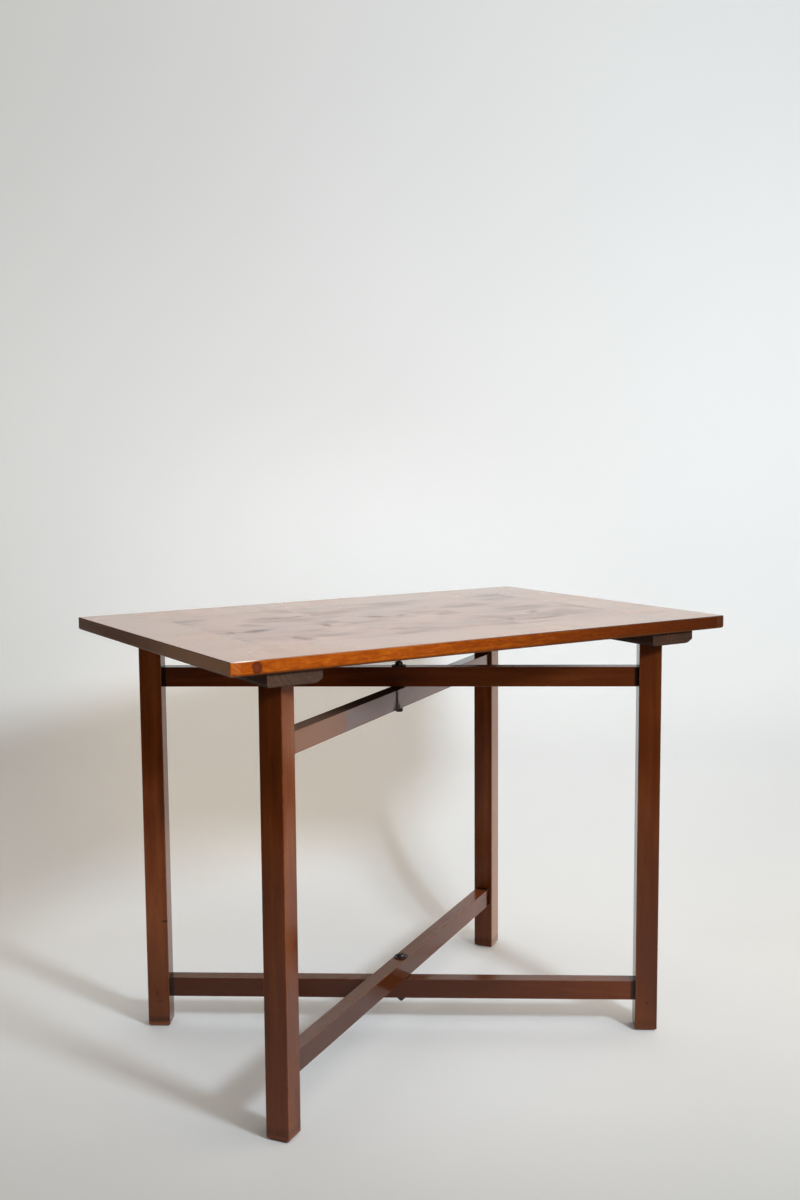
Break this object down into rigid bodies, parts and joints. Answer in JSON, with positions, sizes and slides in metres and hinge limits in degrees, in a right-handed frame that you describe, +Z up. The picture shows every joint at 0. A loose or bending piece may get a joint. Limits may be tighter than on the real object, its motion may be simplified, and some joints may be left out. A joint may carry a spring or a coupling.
{
  "type": "folding card table",
  "caption": "Rectangular veneered table top that lifts off crossed leg frames with square legs, which fold flat about a vertical line of pivot bolts.",
  "frame": {"origin": "centre of the table's footprint, on the floor, on the pivot axis of the leg frames", "axes": "+X along the long side of the top, +Y towards the back long side, +Z up"},
  "size_m": [0.9, 0.604, 0.7122],
  "materials": {
    "core_wood": "plain sawn softwood boards, unpolished, aged",
    "edge_wood": "orange-brown mahogany lipping, french polished, worn edges",
    "border_veneer": "straight-grained mahogany crossbanding, high gloss polish",
    "field_veneer": "dark mottled burr veneer, high gloss polish",
    "batten_wood": "greyish brown hardwood, dull, dusty",
    "frame_wood": "dark red-brown mahogany, satin polish",
    "dowel_wood": "bare turned hardwood",
    "pivot_steel": "dark aged steel with bright worn rims",
    "screw_steel": "dull grey steel, slightly rusted"
  },
  "bodies": {
    "outer_frame": {"leg_left_back": "frame_wood", "leg_right_front": "frame_wood", "outer_lower_rail": "frame_wood", "outer_upper_rail": "frame_wood", "locating_dowels": "dowel_wood", "upper_pivot_bolt": "pivot_steel", "upper_nut": "pivot_steel", "upper_washer": "pivot_steel", "upper_spacer": "pivot_steel", "lower_pivot_bolt": "pivot_steel", "lower_nut": "pivot_steel", "lower_washer": "pivot_steel", "lower_spacer": "pivot_steel"},
    "inner_frame": {"leg_left_front": "frame_wood", "leg_right_back": "frame_wood", "inner_lower_rail": "frame_wood", "inner_upper_rail": "frame_wood"},
    "top": {"top_core": "core_wood", "lipping_front": "edge_wood", "lipping_back": "edge_wood", "lipping_left": "edge_wood", "lipping_right": "edge_wood", "border_front": "border_veneer", "border_back": "border_veneer", "border_left": "border_veneer", "border_right": "border_veneer", "field_leaf_left": "field_veneer", "field_leaf_middle": "field_veneer", "field_leaf_right": "field_veneer", "batten_left": "batten_wood", "batten_right": "batten_wood", "batten_screws": "screw_steel"}
  },
  "joints": [
    {"name": "frame_fold", "type": "hinge", "parent": "outer_frame", "child": "inner_frame", "pos_m": [0, 0, 0], "axis": [0, 0, 1], "range_deg": [-62.7, 106.3]},
    {"name": "top_lift", "type": "slide", "parent": "outer_frame", "child": "top", "axis": [0, 0, 1], "range_m": [0, 0.3]}
  ]
}
